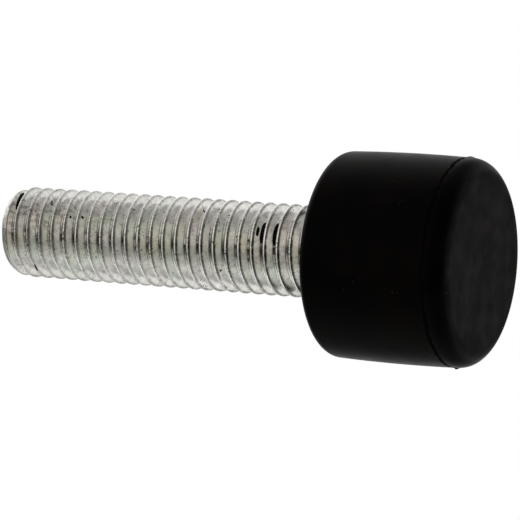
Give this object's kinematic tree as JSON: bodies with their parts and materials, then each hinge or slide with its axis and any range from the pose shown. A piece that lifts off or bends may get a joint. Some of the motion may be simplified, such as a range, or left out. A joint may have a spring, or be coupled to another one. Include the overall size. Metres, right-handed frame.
{
  "type": "rubber buffer",
  "caption": "Round black rubber buffer moulded onto a zinc-plated threaded stud, which screws in to cushion a stop, lid, machine foot or bench edge.",
  "frame": {"origin": "centre of the flat striking face, the end of the rubber away from the stud", "axes": "+Z along the common axis, from the striking face through the rubber to the tip of the stud; X and Y are any square pair across it, because every solid is turned about Z"},
  "size_m": [0.022, 0.022, 0.0548],
  "materials": {
    "rubber": "matt moulded black rubber, slightly dusty",
    "zinc_plated_steel": "bright zinc plate, mottled, with grime in the thread roots"
  },
  "bodies": {
    "root": {"rubber_body": "rubber", "threaded_stud": "zinc_plated_steel"}
  },
  "joints": []
}
